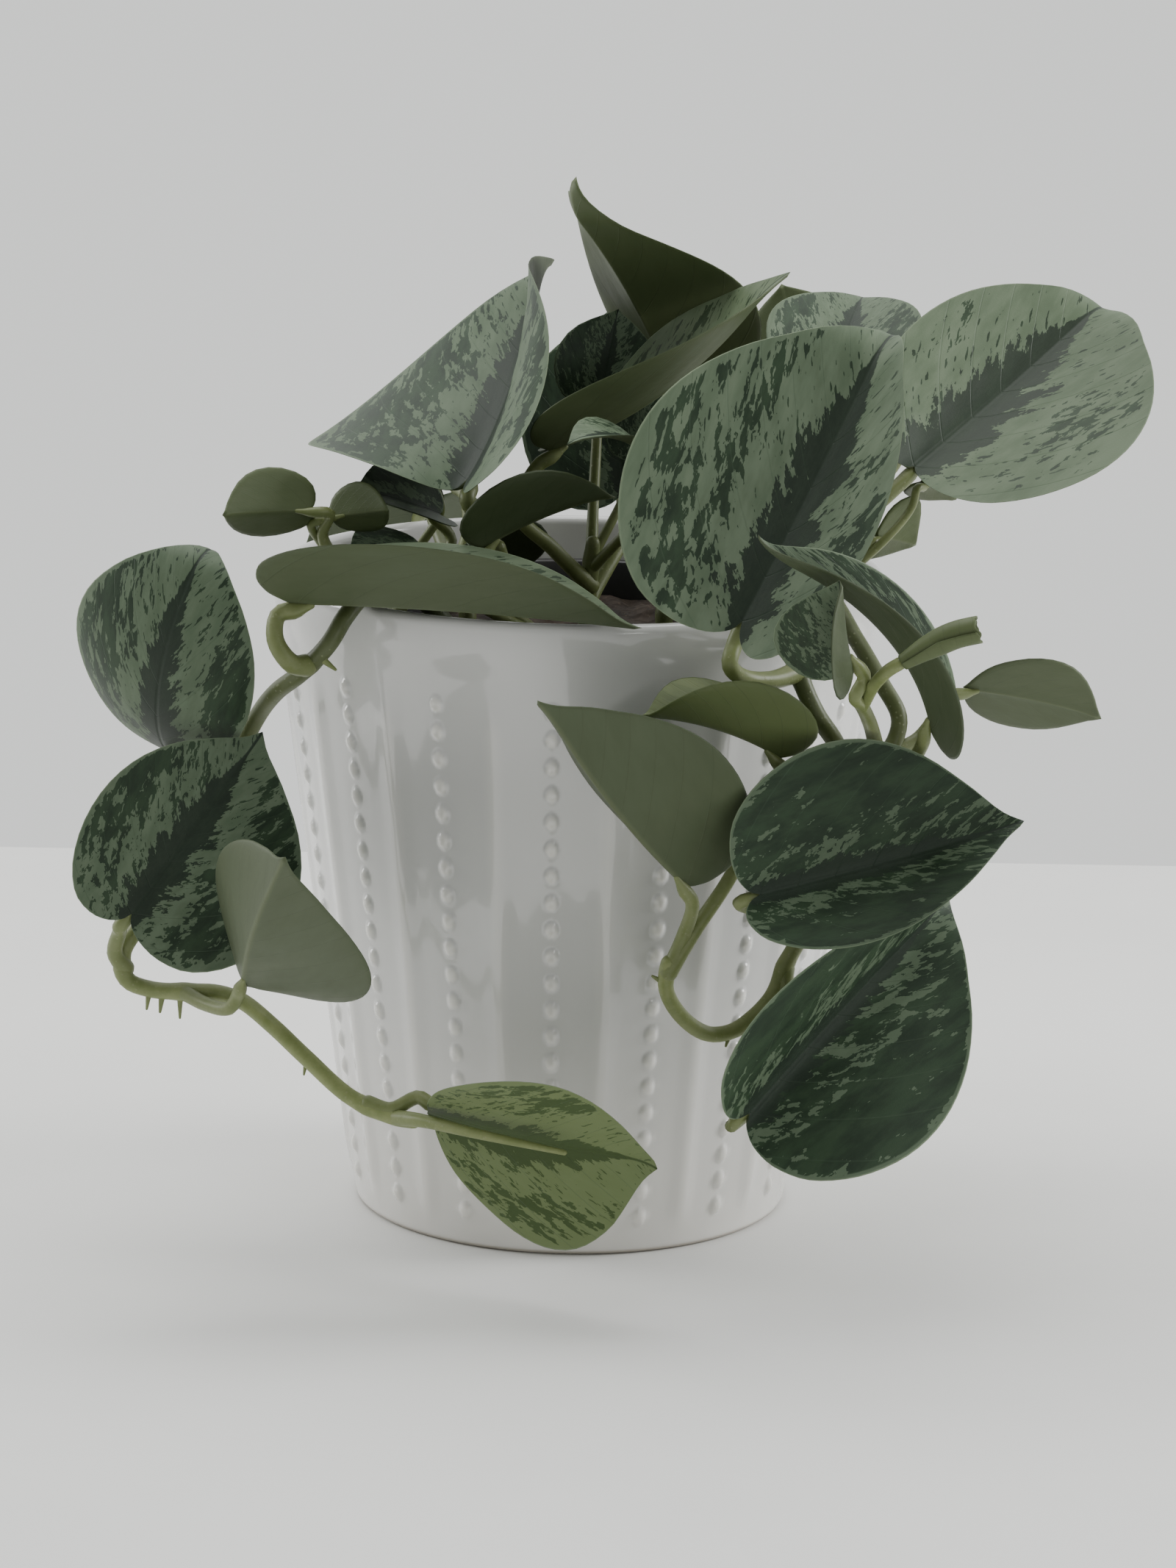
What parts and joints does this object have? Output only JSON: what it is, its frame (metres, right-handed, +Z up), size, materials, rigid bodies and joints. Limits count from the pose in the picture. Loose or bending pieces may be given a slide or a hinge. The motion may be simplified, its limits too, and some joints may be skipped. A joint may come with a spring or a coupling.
{
  "type": "potted kalimantan satin pothos",
  "caption": "Trailing satin pothos with silvery heart-shaped leaves in a white glazed pot with beaded columns, with its nursery pot, soil and stems.",
  "frame": {"origin": "middle of the glazed pot's flat underside", "axes": "+Z up along the pot's axis, -Y the side seen in front, +X its right"},
  "size_m": [0.2392, 0.2218, 0.239],
  "materials": {
    "glaze": "gloss",
    "nursery_plastic": "matte",
    "potting_soil": "matte",
    "stem_green": "satin",
    "satin_leaf": "satin",
    "young_leaf": "satin"
  },
  "bodies": {
    "root": {"pot_glazed": "glaze", "pot_nursery": "nursery_plastic", "soil": "potting_soil", "stem_left_vine": "stem_green", "stem_left_young": "stem_green", "stem_crown_left": "stem_green", "stem_crown_middle": "stem_green", "stem_crown_right": "stem_green", "stem_right_young": "stem_green", "stem_right_vine": "stem_green", "stem_right_front": "stem_green", "stem_front_short": "stem_green", "stem_back_left": "stem_green", "stem_back_right": "stem_green", "leaf_crown_left": "satin_leaf", "leaf_crown_top": "satin_leaf", "leaf_crown_folded": "satin_leaf", "leaf_crown_back": "satin_leaf", "leaf_crown_back_small": "satin_leaf", "leaf_crown_right": "satin_leaf", "leaf_crown_shaded": "satin_leaf", "leaf_inner_shaded": "satin_leaf", "leaf_inner_edge": "satin_leaf", "leaf_front_large": "satin_leaf", "leaf_front_small": "satin_leaf", "leaf_front_slender": "satin_leaf", "leaf_rim_left": "satin_leaf", "leaf_inner_front": "satin_leaf", "leaf_right_under": "satin_leaf", "leaf_right_young": "young_leaf", "leaf_right_bud": "young_leaf", "leaf_left_young": "young_leaf", "leaf_left_bud": "young_leaf", "leaf_left_pale": "young_leaf", "leaf_inner_left": "satin_leaf", "leaf_inner_low": "satin_leaf", "leaf_inner_dark": "satin_leaf", "leaf_left_upper": "satin_leaf", "leaf_left_middle": "satin_leaf", "leaf_left_lower": "satin_leaf", "leaf_low_front": "young_leaf", "leaf_middle_under": "satin_leaf", "leaf_middle_folded": "young_leaf", "leaf_right_middle": "satin_leaf", "leaf_right_lower": "satin_leaf", "leaf_back_left": "satin_leaf", "leaf_back_middle": "satin_leaf", "leaf_back_right": "satin_leaf", "leaf_back_hanging_left": "satin_leaf", "leaf_back_hanging_right": "satin_leaf", "leaf_back_side_right": "satin_leaf", "leaf_right_rolled": "young_leaf"}
  },
  "joints": []
}
